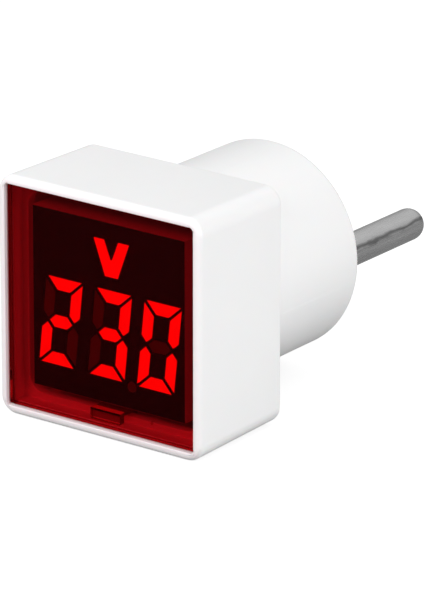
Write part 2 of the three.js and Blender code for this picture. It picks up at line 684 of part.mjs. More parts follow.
// Insulated wires from the power board to the display board, leaving both boards at right angles.
const WIRE_COLOURS = { red: 0xb3201c, black: 0x161616, white: 0xdedede };
const WIRE_START_Z = 8;
const WIRE_END_Z = 9.9;
const WIRE_STRAIGHT = 3; // straight run at the power board
const WIRE_SWAY = 0.3;
Object.entries(WIRE_COLOURS).forEach(([name, colour], i) => {
  const x = (i - 1) * WIRE_SPACING;
  const start = DISPLAY_BOARD_BACK + 2 * TIGHT;
  const end = POWER_BOARD_FRONT - 2 * TIGHT;
  const middle = (start + end) / 2;
  const path = [
    [x, start, WIRE_START_Z],
    [x, start + WIRE_STRAIGHT - 1, WIRE_START_Z + 0.2],
    [x - WIRE_SWAY, middle, WIRE_END_Z - WIRE_SWAY],
    [x, end - WIRE_STRAIGHT, WIRE_END_Z],
    [x, end, WIRE_END_Z],
  ];
  add(`link_wire_${name}`, wireThrough(path, WIRE_RADIUS), plastic(colour));
});

export default plug;
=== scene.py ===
"""Looks for a plug-in mains voltmeter: square white head, red window, lit digits, round body, two pins.

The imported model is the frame. +Y is the way the pins point, -Y faces the reader and +Z is up.
Lengths below are in millimetres and are turned into metres where a mesh is made.
"""

import math

import bmesh
import bpy
from mathutils import Matrix, Vector


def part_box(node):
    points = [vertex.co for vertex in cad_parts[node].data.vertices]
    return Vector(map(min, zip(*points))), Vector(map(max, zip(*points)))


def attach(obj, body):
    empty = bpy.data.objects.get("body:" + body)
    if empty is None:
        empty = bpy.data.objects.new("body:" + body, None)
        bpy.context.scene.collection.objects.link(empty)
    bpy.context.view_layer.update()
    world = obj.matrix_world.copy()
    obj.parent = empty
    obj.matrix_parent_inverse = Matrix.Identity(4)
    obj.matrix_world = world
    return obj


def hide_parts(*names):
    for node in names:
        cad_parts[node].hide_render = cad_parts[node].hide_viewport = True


MM = 0.001
BODY = "root"

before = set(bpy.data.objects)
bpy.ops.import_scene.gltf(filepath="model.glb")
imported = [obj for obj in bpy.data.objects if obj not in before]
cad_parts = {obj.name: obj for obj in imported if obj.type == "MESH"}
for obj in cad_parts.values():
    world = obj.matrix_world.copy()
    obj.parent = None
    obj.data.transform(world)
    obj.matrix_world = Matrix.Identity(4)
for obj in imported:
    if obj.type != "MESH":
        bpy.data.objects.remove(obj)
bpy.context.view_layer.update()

# ---------------------------------------------------------------- sizes the frame gives


def low(node, axis):
    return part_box(node)[0][axis] / MM


def high(node, axis):
    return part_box(node)[1][axis] / MM


def middle(node, axis):
    return (low(node, axis) + high(node, axis)) / 2


X, Y, Z = 0, 1, 2
CHIP_CLEARANCE = 0.05  # between the driver chip and its board
FRONT = low("head_shell", Y)
BACK_OF_HEAD = high("head_shell", Y)
LENS_HALF = high("lens_window", X)
LENS_FRONT = low("lens_window", Y)
LUG_BACK = high("lens_window", Y)
DISPLAY_HALF = high("display_reflector", X)
DISPLAY_FRONT = low("display_reflector", Y)
FILL_BACK = high("display_fill", Y)
DISPLAY_BOARD_BACK = low("driver_chip", Y) - CHIP_CLEARANCE
BOARD_FRONT = low("power_board", Y)
PIN_X = middle("pin_right", X)
PIN_TIP = high("pin_right", Y)
PIN_TAIL = low("pin_right", Y)
SCREW_X = middle("shell_screw_1", X)

# ---------------------------------------------------------------- sizes of the finer shape

HEAD_HALF = 15
HEAD_DRAFT = 0.015
HEAD_CORNER = 2.2
FRONT_ROUNDING = 0.8
BACK_ROUNDING = 0.5
LENS_THICKNESS = 1.5
SEAT_WIDTH = 0.25
LEDGE_DEPTH = 3.6
LEDGE_THICKNESS = 1.2
LEDGE_HALF = 12.6
LEDGE_CORNER = 2
LUG_WIDTH = 4.4
LUG_THICKNESS = 0.5
LUG_HOOK = 0.45
LUG_PAD_DEPTH = 0.9
CAVITY_HALF = 13.155
CAVITY_CORNER = 1.4
FLANGE_THICKNESS = 2.2
GAP = 0.15
TIGHT = 0.05
PASS = 1
OVERLAP = 0.5
REAR_WALL = 2.2
BORE_RADIUS = 11.55
BODY_REAR_RADIUS = 13.05
BODY_FRONT_RADIUS = 13.15
BODY_RIM = 0.8
PIN_BOSS_FRONT = -5.0
PIN_BOSS_RADIUS = 3.4
PIN_RADIUS = 2
PIN_TAIL_RADIUS = 1.2
PIN_COLLAR_RADIUS = 2.8
PIN_COLLAR_DEPTH = 1.2
SCREW_BOSS_RADIUS = 2.3
SCREW_PILOT_RADIUS = 1.0
SCREW_HOLE_RADIUS = 1.1
SCREW_SEAT_RADIUS = 1.75
SCREW_SEAT_DEPTH = 1.25
POST_WIDTH = 3
POST_THICKNESS = 1.1

OPENING_ROUNDING = 0.12
OPENING_CORNER = 0.15
LENS_ROUNDING = 0.12
LUG_ROUNDING = 0.1
BORE_ROUNDING = 0.4
PIN_TAIL_ROUNDING = 0.2
PIN_COLLAR_ROUNDING = 0.15
PIN_COLLAR_GAP = 0.02
PIN_TIP_FLAT = 0.02
CAPACITOR_ROUNDING = 0.35
END_RADIUS = 9  # where the flat ends of the round body and its flange begin, inside their outlines
END_INSET = 1  # the same for the window, measured in from its side
LEDGE_FRONT = FRONT + LEDGE_DEPTH
LEDGE_BACK = LEDGE_FRONT + LEDGE_THICKNESS
LENS_BACK = LENS_FRONT + LENS_THICKNESS
FLANGE_FRONT = BACK_OF_HEAD - FLANGE_THICKNESS

# The display's marks
DIGIT_HEIGHT = 10.95
DIGIT_WIDTH = 5.4
DIGIT_PITCH = 7.3
DIGIT_CENTRE = (0.1, -2.67)
STROKE = 1.5
MITRE_GAP = 0.32
SLANT = math.tan(math.radians(6.3))
FILL_BACKING = 0.4
POINT_CENTRE = (3.35, -8.5)
POINT_RADIUS = 0.67
UNIT_CENTRE = (0.37, 6.74)
UNIT_SIZE = (5.15, 4.45)
UNIT_ARM = 1.55
UNIT_FOOT = 1.85
UNIT_CROTCH = 0.42
POINT_SIDES = 32
READING = "230"
LIT_BARS = {"0": "abcdef", "2": "abged", "3": "abgcd"}

# Half the length of each coated body along its leads; past it the surface is metal
CHIP_BODY_REACH = 1.97
TRANSISTOR_BODY_REACH = 0.67
RESISTOR_CHIP_REACH = 0.52
FUSE_REACH = 3.02
BLEED_REACH = 1.82
ZENER_REACH = 2.22
STANDING_GAP = 0.37  # between a standing part's coat and the power board
SCREW_COUNT = 4
TRANSISTOR_COUNT = 3
SEGMENT_RESISTOR_COUNT = 8

# Mesh making: distances in millimetres, angles in degrees
MERGE_DISTANCE = 1e-4
SLIVER_AREA = 1e-8
LEAST_ARC_STEPS = 3
ARC_STEPS_PER_MM = 4
ROD_ARC_STEPS = 8
BEVEL_STEPS = 3
ROUND_PROFILE = 0.5
SHARP_ANGLE = 35
KEPT_BEVEL_STEPS = 2
KEPT_BEVEL_ANGLE = 50

# Looks: lengths in millimetres, noise in cells per millimetre
NOISE_LOW = 0.3
NOISE_HIGH = 0.7
SPECK_REACH = 0.1
# Painted red glow on the frame beside the window, standing for the display's red light: its width, and
# where it starts and ends fading back from the front
RED_GLOW_WIDTH = 1.2
RED_GLOW_FULL = 0.3
RED_GLOW_END = 0.8
ACRYLIC_IOR = 1.49
SIDE_FACE = 0.5  # a window face is one of its four sides when its normal has less than this along Y
LEVEL_FACE = 0.3  # a lug face is level when its normal has more than this along Z
FROST_COVER = 0.9
# Strength of the painted glow on the lug's highlighted level faces
PAINTED_LUG_GLOW = 0.2
# Painted dark reflection band along each pin: its angle about the pin, core and edge widths, depth and
# wander
REFLECTION_BAND_ANGLE = math.radians(28)
REFLECTION_BAND_CORE = 0.04
REFLECTION_BAND_EDGE = 0.2
REFLECTION_BAND_STRENGTH = 0.75
REFLECTION_BAND_WANDER = 0.12
MOULDED_ROUGHNESS = 0.55
COATED_ROUGHNESS = 0.5
WIRE_ROUGHNESS = 0.4
ROUGHNESS_CHANGE = 0.07
MOULDED_CLOUD = 2.0
MOULDED_GRAIN = 10.0
WIRE_LIGHTER = 1.25
TRACK_SCALE = 0.7
TRACK_WIDTH = 0.05

# Stage: places in millimetres, angles in degrees, energies in watts
FLOOR_SIZE = 3000
FLOOR_Z = -15.05
FLOOR_LIFT = 0.8
WORLD_HORIZON = 0.3
WORLD_ZENITH = 0.79
WORLD_RISE = 0.8  # how high up the world reaches its strength overhead
KEY_PLACE = (280, -60, 60)
KEY_SIZE = 130
KEY_ENERGY = 0.45
FRONT_PLACE = (-115, -300, 175)
FRONT_SIZE = 80
FRONT_ENERGY = 0.72
LIGHT_TARGET = (0, -9, 0)
CAMERA_AZIMUTH = 36.87
CAMERA_ELEVATION = 19.6
CAMERA_TARGET = (-2.05, -9.5, -5.3)
CAMERA_DISTANCE = 700
CAMERA_LENS = 347.9
SENSOR_WIDTH = 36


# ---------------------------------------------------------------- mesh tools


def new_object(name, bm):
    """A mesh object from bm, which is in millimetres."""
    bmesh.ops.remove_doubles(bm, verts=bm.verts, dist=MERGE_DISTANCE)
    bmesh.ops.recalc_face_normals(bm, faces=bm.faces)
    bmesh.ops.scale(bm, vec=(MM, MM, MM), verts=bm.verts)
    mesh = bpy.data.meshes.new(name)
    bm.to_mesh(mesh)
    bm.free()
    obj = bpy.data.objects.new(name, mesh)
    bpy.context.scene.collection.objects.link(obj)
    return obj


def rounded_path(points, closed):
    """A polyline of (half, y, fillet) with each corner turned into an arc, as (half, y) pairs."""
    path = []
    count = len(points)
    for i, (half, y, fillet) in enumerate(points):
        here = Vector((half, y))
        if fillet == 0 or (not closed and i in (0, count - 1)):
            path.append(here)
            continue
        before = Vector(points[i - 1][:2])
        after = Vector(points[(i + 1) % count][:2])
        arriving = (here - before).normalized()
        leaving = (after - here).normalized()
        turn = arriving.angle(leaving)
        setback = fillet * math.tan(turn / 2)
        side = 1 if arriving.x * leaving.y - arriving.y * leaving.x > 0 else -1
        start = here - arriving * setback
        centre = start + Vector((-arriving.y, arriving.x)) * side * fillet
        steps = max(LEAST_ARC_STEPS, math.ceil(fillet * turn * ARC_STEPS_PER_MM))
        for k in range(steps + 1):
            spin = Matrix.Rotation(side * turn * k / steps, 2)
            path.append(centre + spin @ (start - centre))
    return path


def ring(half, corner, y, arc_steps):
    """One rounded square around the Y axis. With corner equal to half it is a circle."""
    points = []
    for k, (sx, sz) in enumerate(((1, 1), (-1, 1), (-1, -1), (1, -1))):
        for i in range(arc_steps + 1):
            angle = math.radians(90 * (k + i / arc_steps))
            reach = half - corner
            points.append(Vector((
                sx * reach + corner * math.cos(angle),
                y,
                sz * reach + corner * math.sin(angle),
            )))
    return points


def loft(name, path, corner_at, arc_steps=12, closed=False, offset=(0, 0)):
    """A skin over rounded squares: path gives (half, y) and corner_at(half, y) the corner radius."""
    bm = bmesh.new()
    rings = []
    for half, y in path:
        points = ring(half, min(corner_at(half, y), half), y, arc_steps)
        rings.append([bm.verts.new(p + Vector((offset[0], 0, offset[1]))) for p in points])
    pairs = list(zip(rings, rings[1:]))
    if closed:
        pairs.append((rings[-1], rings[0]))
    for near, far in pairs:
        for i in range(len(near)):
            j = (i + 1) % len(near)
            bm.faces.new((near[i], near[j], far[j], far[i]))
    if not closed:
        bm.faces.new(rings[0])
        bm.faces.new(rings[-1])
    bmesh.ops.remove_doubles(bm, verts=bm.verts, dist=MERGE_DISTANCE)
    flat = [f for f in bm.faces if f.calc_area() < SLIVER_AREA]
    bmesh.ops.delete(bm, geom=flat, context="FACES_ONLY")
    return new_object(name, bm)


def turned(name, points, arc_steps=12, offset=(0, 0)):
    """A solid of revolution about Y from (radius, y, fillet) corners."""
    return loft(name, rounded_path(points, False), lambda half, y: half, arc_steps, offset=offset)


def rods(name, radius, from_y, to_y, spots):
    """Round bars along Y, one at each (x, z) spot."""
    ends = [(radius, from_y, 0), (radius, to_y, 0)]
    return [turned(f"{name}_{i}", ends, ROD_ARC_STEPS, spot) for i, spot in enumerate(spots)]


def block(name, centre, size, rounding=0):
    """A box, with its edges rounded where rounding is given."""
    bm = bmesh.new()
    bmesh.ops.create_cube(bm, size=1)
    bmesh.ops.scale(bm, vec=size, verts=bm.verts)
    if rounding:
        bmesh.ops.bevel(bm, geom=bm.edges[:], offset=rounding, segments=BEVEL_STEPS,
                        profile=ROUND_PROFILE, affect="EDGES")
    bmesh.ops.translate(bm, vec=centre, verts=bm.verts)
    return new_object(name, bm)


def prisms(name, outlines, from_y, to_y):
    """Closed (x, z) outlines made solid between two Y places, all in one object."""
    bm = bmesh.new()
    for outline in outlines:
        near = [bm.verts.new((x, from_y, z)) for x, z in outline]
        far = [bm.verts.new((x, to_y, z)) for x, z in outline]
        bm.faces.new(near)
        bm.faces.new(far)
        for i in range(len(outline)):
            j = (i + 1) % len(outline)
            bm.faces.new((near[i], near[j], far[j], far[i]))
    return new_object(name, bm)


def settle(obj):
    """Applies the modifiers of obj to its mesh."""
    graph = bpy.context.evaluated_depsgraph_get()
    mesh = bpy.data.meshes.new_from_object(obj.evaluated_get(graph))
    obj.modifiers.clear()
    obj.data = mesh


def combine(obj, tools, operation):
    """Joins tools to obj, or cuts them from it, and removes the tools."""
    for tool in tools:
        modifier = obj.modifiers.new(tool.name, "BOOLEAN")
        modifier.operation = operation
        modifier.solver = "EXACT"
        modifier.object = tool
    settle(obj)
    for tool in tools:
        bpy.data.objects.remove(tool)


def smooth(obj):
    """Smooth shading with edges sharper than SHARP_ANGLE kept crisp and flat faces kept flat."""
    mesh = obj.data
    mesh.polygons.foreach_set("use_smooth", [True] * len(mesh.polygons))
    mesh.set_sharp_from_angle(angle=math.radians(SHARP_ANGLE))
    modifier = obj.modifiers.new("even_normals", "WEIGHTED_NORMAL")
    modifier.keep_sharp = True


def finish_piece(obj, material, slot, *stands_for):
    """Gives a made piece its material and body, and lets it stand for the CAD nodes named."""
    obj.data.materials.clear()
    obj.data.materials.append(material)
    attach(obj, BODY)
    if stands_for:
        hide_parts(*stands_for)


# ---------------------------------------------------------------- material tools


class Shader:
    """A node material with a few short calls for the parts that every material here uses."""

    def __init__(self, name):
        self.material = bpy.data.materials.new(name)
        self.material.use_nodes = True
        self.nodes = self.material.node_tree.nodes
        self.links = self.material.node_tree.links
        self.surface = self.nodes["Principled BSDF"]
        self.output = self.nodes["Material Output"]

    def add(self, kind, settings=None, **inputs):
        """A new node with its settings and its inputs by name, with _ for each space in a name."""
        node = self.nodes.new(kind)
        for key, value in (settings or {}).items():
            setattr(node, key, value)
        for key, value in inputs.items():
            self.feed(node, key.replace("_", " "), value)
        return node

    def feed(self, node, key, value):
        """Links value to an input when it is a socket, and sets the input to it when it is not."""
        socket = node.inputs[int(key) if key.isdigit() else key]
        if isinstance(value, bpy.types.NodeSocket):
            self.links.new(value, socket)
        else:
            socket.default_value = value

    def set(self, **inputs):
        for key, value in inputs.items():
            self.feed(self.surface, key.replace("_", " "), value)

    def place(self, stretch=(1, 1, 1)):
        """Position in millimetres, divided by stretch."""
        position = self.add("ShaderNodeNewGeometry").outputs["Position"]
        scale = tuple(1 / (MM * s) for s in stretch)
        mapped = self.add("ShaderNodeVectorMath", {"operation": "MULTIPLY"})
        self.links.new(position, mapped.inputs[0])
        mapped.inputs[1].default_value = scale
        return mapped.outputs[0]

    def noise(self, scale, detail=3, stretch=(1, 1, 1)):
        """Noise in cells per millimetre, from 0 to 1."""
        node = self.add("ShaderNodeTexNoise", Vector=self.place(stretch), Scale=scale, Detail=detail)
        return node.outputs["Fac"]

    def ramp(self, value, from_low, from_high, to_low, to_high):
        node = self.add("ShaderNodeMapRange", Value=value)
        for key, number in zip(("From Min", "From Max", "To Min", "To Max"),
                               (from_low, from_high, to_low, to_high)):
            node.inputs[key].default_value = number
        return node.outputs[0]

    def spread(self, noise, to_low, to_high):
        """Turns the range that noise mostly keeps to into the range given."""
        return self.ramp(noise, NOISE_LOW, NOISE_HIGH, to_low, to_high)

    def math(self, operation, a, b=0.0):
        node = self.add("ShaderNodeMath", {"operation": operation})
        self.feed(node, "0", a)
        self.feed(node, "1", b)
        return node.outputs[0]

    def mix(self, factor, a, b):
        """A blend of two colours: inputs 0, 6 and 7 of the node are the factor and the colours."""
        node = self.add("ShaderNodeMix", {"data_type": "RGBA"})
        self.feed(node, "0", factor)
        self.feed(node, "6", a)
        self.feed(node, "7", b)
        return node.outputs[2]

    def bump(self, height, strength, distance_mm):
        node = self.add("ShaderNodeBump", Height=height, Strength=strength, Distance=distance_mm * MM)
        self.set(Normal=node.outputs[0])

    def axis(self, index):
        """One coordinate in millimetres."""
        split = self.add("ShaderNodeSeparateXYZ", Vector=self.place())
        return split.outputs[index]


def rgb(r, g, b):
    return (r, g, b, 1)


def beyond(shader, axis, centre, reach):
    """1 where a coordinate is more than reach from centre."""
    away = shader.math("ABSOLUTE", shader.math("SUBTRACT", shader.axis(axis), centre))
    return shader.math("GREATER_THAN", away, reach)


def outside_square(shader, half):
    """1 outside a square of this half side about the Y axis."""
    return shader.math("MAXIMUM", beyond(shader, X, 0, half), beyond(shader, Z, 0, half))


def speckled(shader, base, dark, scale, amount):
    """Base colour with sparse small dark specks."""
    cells = shader.add("ShaderNodeTexVoronoi", Vector=shader.place(), Scale=scale)
    near = shader.math("LESS_THAN", cells.outputs["Distance"], SPECK_REACH)
    chosen = shader.add("ShaderNodeSeparateColor", Color=cells.outputs["Color"])
    rare = shader.math("GREATER_THAN", chosen.outputs[0], 1 - amount)
    return shader.mix(shader.math("MULTIPLY", near, rare), base, dark)


def white_abs():
    """White housing plastic with a faint painted red glow on the frame beside the window, standing for
    the display's red light falling on it.
    """
    shader = Shader("white_abs")
    cloud = shader.noise(0.09, detail=2)
    base = shader.mix(cloud, rgb(0.85, 0.85, 0.855), rgb(0.88, 0.88, 0.88))
    out_x = shader.math("ABSOLUTE", shader.axis(X))
    out_z = shader.math("ABSOLUTE", shader.axis(Z))
    from_window = shader.math("SUBTRACT", shader.math("MAXIMUM", out_x, out_z), LENS_HALF)
    beside = shader.ramp(from_window, 0, RED_GLOW_WIDTH, 1, 0)
    in_front = shader.ramp(shader.axis(Y), FRONT + RED_GLOW_FULL, FRONT + RED_GLOW_END, 1, 0)
    # Painted red glow: a pink tint beside the window near the front, standing for the display's red
    # light cast on the frame
    base = shader.mix(shader.math("MULTIPLY", beside, in_front), base, rgb(0.83, 0.74, 0.76))
    base = speckled(shader, base, rgb(0.5, 0.49, 0.48), scale=0.35, amount=0.03)
    shader.set(Base_Color=base)
    shader.set(Roughness=shader.spread(shader.noise(0.6, detail=4), 0.38, 0.5))
    shader.set(IOR=1.5, Subsurface_Weight=0.06, Subsurface_Scale=0.4 * MM)
    shader.bump(shader.noise(7, detail=4), strength=0.12, distance_mm=0.012)
    return shader.material


def red_window():
    """Clear red acrylic that bends the view but lets light straight through to what lies behind it.

    Its rim faces are tinted darker, a painted shade for the dark gap between window and frame. Its lug
    is frosted, with painted highlights and a painted red glow on the level faces before the ledge, and a
    darker painted shade on its other faces.
    """
    shader = Shader("red_acrylic")
    path = shader.add("ShaderNodeLightPath").outputs
    streaks = shader.noise(0.05, detail=2)
    tint = shader.mix(streaks, rgb(0.74, 0.21, 0.25), rgb(0.77, 0.22, 0.26))
    waves = shader.noise(0.12, detail=2)
    ripple = shader.add("ShaderNodeBump", Height=waves, Strength=0.1, Distance=0.05 * MM)
    normal = shader.add("ShaderNodeNewGeometry").outputs["True Normal"]
    along = shader.math("ABSOLUTE", shader.add("ShaderNodeSeparateXYZ", Vector=normal).outputs[1])
    # Painted shade: the window's four side faces get a darker tint, standing for the dark gap between
    # window and frame
    near_rim = outside_square(shader, LENS_HALF - 2 * TIGHT)
    painted_gap_shade = shader.math("MULTIPLY", shader.math("LESS_THAN", along, SIDE_FACE), near_rim)
    tint = shader.mix(painted_gap_shade, tint, rgb(0.4, 0.03, 0.04))
    bent = shader.add("ShaderNodeBsdfRefraction", Color=tint, Roughness=0.0, IOR=ACRYLIC_IOR)
    upright = shader.math("ABSOLUTE", shader.add("ShaderNodeSeparateXYZ", Vector=normal).outputs[2])
    level = shader.math("GREATER_THAN", upright, LEVEL_FACE)
    frosted = shader.math("GREATER_THAN", shader.axis(Y), LENS_BACK + TIGHT)
    before_ledge = shader.math("LESS_THAN", shader.axis(Y), LENS_BACK + LUG_PAD_DEPTH + TIGHT)
    # Painted highlight: the lug's level faces before the ledge get a bright red, while its other faces
    # get a dark red as painted shade
    painted_highlight = shader.math("MULTIPLY", level, before_ledge)
    frost_highlight_and_shade = shader.mix(painted_highlight, rgb(0.2, 0.003, 0.01), rgb(1.0, 0.08, 0.12))
    diffuse = shader.add("ShaderNodeBsdfDiffuse", Color=frost_highlight_and_shade)
    # Painted glow on the highlighted lug faces, though the lug is no lamp
    glow = shader.math("MULTIPLY", painted_highlight, PAINTED_LUG_GLOW)
    painted_edge_glow = shader.add("ShaderNodeEmission", Color=rgb(1.0, 0.03, 0.05), Strength=glow)
    frost = shader.add("ShaderNodeAddShader")
    shader.links.new(diffuse.outputs[0], frost.inputs[0])
    shader.links.new(painted_edge_glow.outputs[0], frost.inputs[1])
    cloudy = shader.add("ShaderNodeMixShader")
    shader.feed(cloudy, "0", shader.math("MULTIPLY", frosted, FROST_COVER))
    shader.links.new(bent.outputs[0], cloudy.inputs[1])
    shader.links.new(frost.outputs[0], cloudy.inputs[2])
    straight = shader.add("ShaderNodeBsdfTransparent", Color=tint)
    lighting = shader.math("MAXIMUM", path["Is Shadow Ray"], path["Is Diffuse Ray"])
    through = shader.add("ShaderNodeMixShader")
    shader.feed(through, "0", lighting)
    shader.links.new(cloudy.outputs[0], through.inputs[1])
    shader.links.new(straight.outputs[0], through.inputs[2])
    shine = shader.mix(path["Is Camera Ray"], rgb(0.9, 0.5, 0.5), rgb(0.05, 0.02, 0.02))
    gloss = shader.add("ShaderNodeBsdfGlossy", Color=shine, Roughness=0.05, Normal=ripple.outputs[0])
    facing = shader.add("ShaderNodeFresnel", IOR=ACRYLIC_IOR)
    mirrored = shader.math("MULTIPLY", facing.outputs[0], shader.math("SUBTRACT", 1.0, lighting))
    mix = shader.add("ShaderNodeMixShader")
    shader.feed(mix, "0", mirrored)
    shader.links.new(through.outputs[0], mix.inputs[1])
    shader.links.new(gloss.outputs[0], mix.inputs[2])
    shader.links.new(mix.outputs[0], shader.output.inputs["Surface"])
    return shader.material


def black_face():
    """Display module: a front painted black and pale moulded sides."""
    shader = Shader("black_face")
    grain = shader.noise(3, detail=4)
    outside = outside_square(shader, DISPLAY_HALF - TIGHT / 2)
    paint = shader.mix(grain, rgb(0.004, 0.001, 0.001), rgb(0.006, 0.002, 0.002))
    plastic = shader.mix(grain, rgb(0.6, 0.58, 0.58), rgb(0.66, 0.64, 0.64))
    shader.set(Base_Color=shader.mix(outside, paint, plastic))
    shader.set(Roughness=shader.spread(grain, 0.55, 0.7), Specular_IOR_Level=0.05)
    shader.bump(shader.noise(9, detail=2), strength=0.1, distance_mm=0.01)
    return shader.material


def lit_resin():
    shader = Shader("lit_resin")
    glow = shader.spread(shader.noise(0.5, detail=1), 1.5, 1.65)
    shader.set(Base_Color=rgb(0.6, 0.02, 0.01), Roughness=0.5)
    shader.set(Emission_Color=rgb(1, 0.0, 0.0), Emission_Strength=glow)
    return shader.material


def unlit_resin():
    shader = Shader("unlit_resin")
    cloud = shader.noise(0.8, detail=2)
    shader.set(Base_Color=shader.mix(cloud, rgb(0.09, 0.014, 0.012), rgb(0.12, 0.018, 0.016)))
    shader.set(Roughness=0.6, Specular_IOR_Level=0.1)
    shader.bump(cloud, strength=0.1, distance_mm=0.02)
    return shader.material


def drawn_nickel(pin_x):
    """Plated pin with fine draw marks along its length and a painted dark reflection band along its +X
    side.
    """
    shader = Shader("drawn_nickel")
    marks = shader.noise(5, detail=5, stretch=(1, 12, 1))
    broad = shader.noise(1.1, detail=3, stretch=(1, 8, 1))
    tone = shader.math("ADD", shader.math("MULTIPLY", marks, 0.5), shader.math("MULTIPLY", broad, 0.5))
    aside = shader.math("SUBTRACT", shader.axis(X), pin_x)
    angle = shader.math("ARCTAN2", shader.axis(Z), aside)
    wander = shader.spread(shader.noise(0.9, detail=4, stretch=(1, 3, 1)), -REFLECTION_BAND_WANDER, REFLECTION_BAND_WANDER)
    from_line = shader.math("SUBTRACT", angle, REFLECTION_BAND_ANGLE)
    off_line = shader.math("ABSOLUTE", shader.math("ADD", from_line, wander))
    # Painted reflection: a dark band at a fixed angle on the +X side, standing for dark surroundings
    # mirrored in the pin
    painted_reflection_band = shader.ramp(off_line, REFLECTION_BAND_CORE, REFLECTION_BAND_EDGE, REFLECTION_BAND_STRENGTH, 0.0)
    plain = shader.mix(tone, rgb(0.5, 0.5, 0.505), rgb(0.76, 0.76, 0.76))
    shader.set(Base_Color=shader.mix(painted_reflection_band, plain, rgb(0.13, 0.13, 0.13)))
    shader.set(Metallic=1.0, Roughness=shader.spread(marks, 0.2, 0.34))
    shader.bump(marks, strength=0.25, distance_mm=0.012)
    return shader.material


def zinc_steel():
    shader = Shader("zinc_steel")
    cloud = shader.noise(2, detail=4)
    shader.set(Base_Color=shader.mix(cloud, rgb(0.42, 0.42, 0.43), rgb(0.6, 0.6, 0.61)))
    shader.set(Metallic=1.0, Roughness=shader.spread(cloud, 0.28, 0.45))
    shader.bump(shader.noise(10, detail=3), strength=0.15, distance_mm=0.01)
    return shader.material


def moulded(name, dark, light, roughness=MOULDED_ROUGHNESS):
    """Plain moulded or dipped plastic with a little cloud, grain and gloss change."""
    shader = Shader(name)
    cloud = shader.noise(MOULDED_CLOUD, detail=3)
    shader.set(Base_Color=shader.mix(cloud, rgb(*dark), rgb(*light)))
    smoother = roughness - ROUGHNESS_CHANGE
    rougher = roughness + ROUGHNESS_CHANGE
    shader.set(Roughness=shader.spread(cloud, smoother, rougher))
    shader.bump(shader.noise(MOULDED_GRAIN, detail=2), strength=0.12, distance_mm=0.015)
    return shader


def with_metal_leads(shader, outside):
    """Turns the surface to tinned metal where outside (0 or 1) says so."""
    tin = shader.add("ShaderNodeBsdfPrincipled", Metallic=1.0, Roughness=0.35,
                     Base_Color=rgb(0.62, 0.61, 0.59))
    mix = shader.add("ShaderNodeMixShader")
    shader.feed(mix, "0", outside)
    shader.links.new(shader.surface.outputs[0], mix.inputs[1])
    shader.links.new(tin.outputs[0], mix.inputs[2])
    shader.links.new(mix.outputs[0], shader.output.inputs["Surface"])
    return shader.material


def circuit_board():
    """Green solder mask over copper tracks that show as a paler pattern."""
    shader = Shader("circuit_board")
    mask = shader.add("ShaderNodeTexBrick", Vector=shader.place(), Scale=TRACK_SCALE,
                      Mortar_Size=TRACK_WIDTH)
    cloud = shader.noise(0.8, detail=3)
    green = shader.mix(cloud, rgb(0.012, 0.085, 0.035), rgb(0.02, 0.12, 0.05))
    trace = shader.math("MULTIPLY", mask.outputs["Fac"], 0.5)
    shader.set(Base_Color=shader.mix(trace, green, rgb(0.05, 0.26, 0.1)))
    shader.set(Roughness=shader.spread(cloud, 0.28, 0.42))
    shader.bump(mask.outputs["Fac"], strength=0.3, distance_mm=0.02)
    return shader.material


# ---------------------------------------------------------------- housing


def head_half_at(y):
    return HEAD_HALF - HEAD_DRAFT * (y - FRONT)


def corner_spots():
    return [(x, z) for x in (SCREW_X, -SCREW_X) for z in (SCREW_X, -SCREW_X)]


def head_shell():
    """The square head: outer skin, window opening, lens seat, ledge, cavity and screw bosses."""
    opening = LENS_HALF + GAP
    seat = LENS_HALF - SEAT_WIDTH
    path = rounded_path([
        (head_half_at(BACK_OF_HEAD), BACK_OF_HEAD, BACK_ROUNDING),
        (head_half_at(FRONT), FRONT, FRONT_ROUNDING),
        (opening, FRONT, OPENING_ROUNDING),
        (opening, LENS_BACK, TIGHT),
        (seat, LENS_BACK, TIGHT),
        (seat, LEDGE_FRONT, OPENING_ROUNDING),
        (LEDGE_HALF, LEDGE_FRONT, OPENING_ROUNDING),
        (LEDGE_HALF, LEDGE_BACK, 0),
        (CAVITY_HALF, LEDGE_BACK, OPENING_ROUNDING),
        (CAVITY_HALF, BACK_OF_HEAD, OPENING_ROUNDING),
    ], True)

    def corner_at(half, y):
        if half > opening + 2 * OPENING_ROUNDING:
            return HEAD_CORNER - (head_half_at(y) - half)
        if half < LEDGE_HALF + 2 * OPENING_ROUNDING:
            return LEDGE_CORNER
        if y < LEDGE_BACK - TIGHT:
            return OPENING_CORNER + max(0, half - opening)
        return CAVITY_CORNER

    shell = loft("housing_head", path, corner_at, arc_steps=14, closed=True)
    boss_back = FLANGE_FRONT - GAP
    spots = corner_spots()
    combine(shell, rods("boss", SCREW_BOSS_RADIUS, DISPLAY_BOARD_BACK, boss_back, spots), "UNION")
    cuts = rods("pilot", SCREW_PILOT_RADIUS, DISPLAY_BOARD_BACK - PASS, boss_back + PASS, spots)
    combine(shell, cuts, "DIFFERENCE")
    smooth(shell)
    return shell


